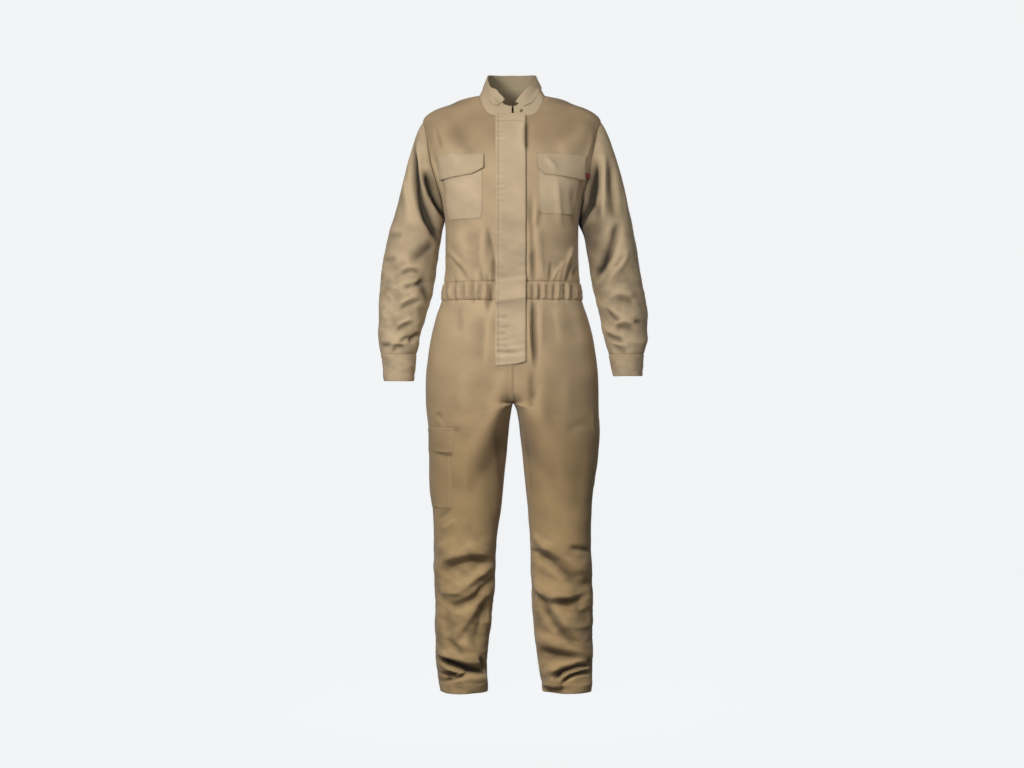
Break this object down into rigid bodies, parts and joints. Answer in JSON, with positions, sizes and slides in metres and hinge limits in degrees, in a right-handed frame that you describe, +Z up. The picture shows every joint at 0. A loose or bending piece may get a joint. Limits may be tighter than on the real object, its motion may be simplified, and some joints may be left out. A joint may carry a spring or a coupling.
{
  "type": "boiler suit",
  "caption": "Long-sleeved one-piece work suit of khaki twill, hollow and filled out as worn, with turned-up collar, zip under a storm flap, elasticated waist and patch pockets.",
  "frame": {"origin": "middle of the neck opening, level with the neckline seam at the sides, where the wearer's neck and shoulders hold the suit up", "axes": "+Z up along the body, -Y the way the front faces, +X towards the wearer's left"},
  "size_m": [0.651, 0.2743, 1.4984],
  "materials": {
    "twill": "matt cotton-rich twill, khaki",
    "zip_tape": "woven tape, darker than the twill",
    "metal": "dark satin lacquered metal of stud and zip teeth",
    "tab": "dark red woven tab, plain"
  },
  "bodies": {
    "root": {"front_right": "twill", "front_left": "twill", "back": "twill", "sleeve_right": "twill", "sleeve_left": "twill", "cuff_right": "twill", "cuff_left": "twill", "collar_stand": "twill", "collar_fall": "twill", "placket": "twill", "zip": "zip_tape", "chest_pocket_right": "twill", "chest_pocket_left": "twill", "pocket_flap_right": "twill", "pocket_flap_left": "twill", "waistband": "twill", "trouser_front_right": "twill", "trouser_front_left": "twill", "trouser_back_right": "twill", "trouser_back_left": "twill", "thigh_pocket": "twill", "thigh_pocket_flap": "twill", "side_pocket": "twill", "neck_stud": "metal", "label_tab": "tab"}
  },
  "joints": []
}
